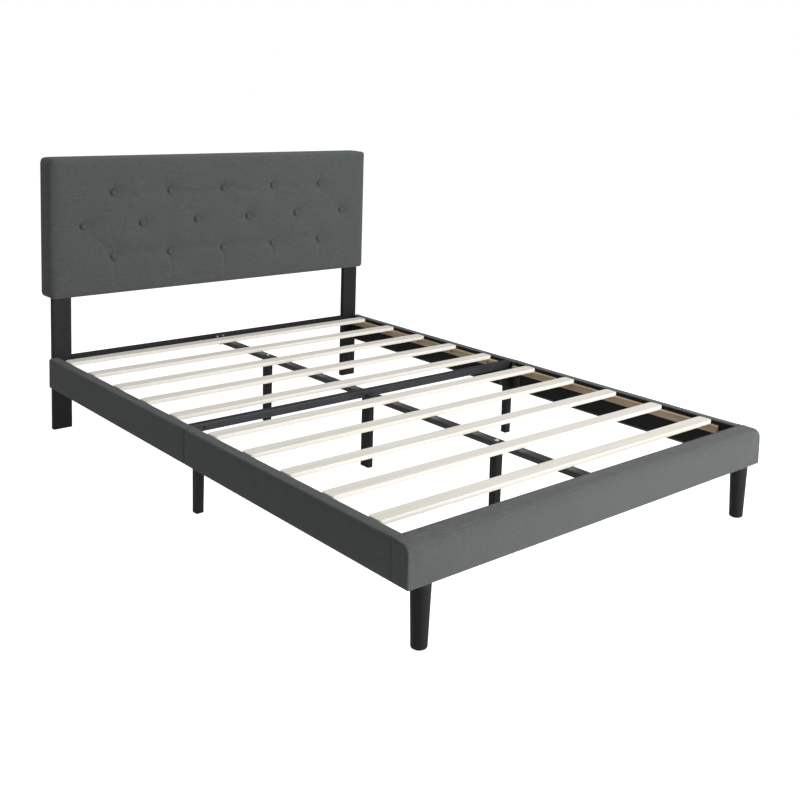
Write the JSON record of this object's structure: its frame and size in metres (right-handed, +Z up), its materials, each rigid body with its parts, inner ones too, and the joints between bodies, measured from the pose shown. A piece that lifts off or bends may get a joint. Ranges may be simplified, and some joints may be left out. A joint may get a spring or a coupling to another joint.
{
  "type": "upholstered platform bed",
  "caption": "Upholstered platform bed frame with a button-tufted headboard, padded rails, wooden slats, a centre beam and tapered legs.",
  "frame": {"origin": "on the floor, at the middle of the bed's outline seen from above", "axes": "+X to the right seen from the foot, +Y from the foot to the head, +Z up"},
  "size_m": [1.435, 2.085, 1.005],
  "materials": {
    "upholstery": "dark grey linen-look weave",
    "button_cloth": "dark grey linen-look weave, pulled tight",
    "board": "raw engineered board, hidden",
    "pine": "raw pine",
    "slat_wood": "pale sanded wood",
    "black_wood": "satin black lacquer",
    "black_steel": "satin black powder coat"
  },
  "bodies": {
    "root": {"headboard_pad": "upholstery", "headboard_plywood": "board", "headboard_top_timber": "board", "headboard_bottom_timber": "board", "headboard_back_panel": "upholstery", "button_bottom_1": "button_cloth", "button_bottom_2": "button_cloth", "button_bottom_3": "button_cloth", "button_bottom_4": "button_cloth", "button_bottom_5": "button_cloth", "button_middle_1": "button_cloth", "button_middle_2": "button_cloth", "button_middle_3": "button_cloth", "button_middle_4": "button_cloth", "button_middle_5": "button_cloth", "button_middle_6": "button_cloth", "button_top_1": "button_cloth", "button_top_2": "button_cloth", "button_top_3": "button_cloth", "button_top_4": "button_cloth", "button_top_5": "button_cloth", "post_left": "black_wood", "post_right": "black_wood", "head_rail": "black_wood", "rail_board_left_front": "board", "rail_pad_left_front": "upholstery", "rail_board_left_rear": "board", "rail_pad_left_rear": "upholstery", "rail_board_right_front": "board", "rail_pad_right_front": "upholstery", "rail_board_right_rear": "board", "rail_pad_right_rear": "upholstery", "footboard_pad": "upholstery", "footboard_board": "board", "ledger_left_front": "pine", "ledger_left_rear": "pine", "ledger_right_front": "pine", "ledger_right_rear": "pine", "slat_front_1": "slat_wood", "slat_front_2": "slat_wood", "slat_front_3": "slat_wood", "slat_front_4": "slat_wood", "slat_front_5": "slat_wood", "slat_rear_1": "slat_wood", "slat_rear_2": "slat_wood", "slat_rear_3": "slat_wood", "slat_rear_4": "slat_wood", "slat_rear_5": "slat_wood", "crossbar_left": "black_steel", "crossbar_right": "black_steel", "centre_beam_front": "black_steel", "centre_beam_rear": "black_steel", "beam_bracket": "black_steel", "front_leg_left": "black_wood", "mid_leg_left": "black_wood", "front_leg_right": "black_wood", "mid_leg_right": "black_wood", "beam_leg_front": "black_wood", "beam_leg_rear": "black_wood", "centre_leg": "black_wood"}
  },
  "joints": []
}
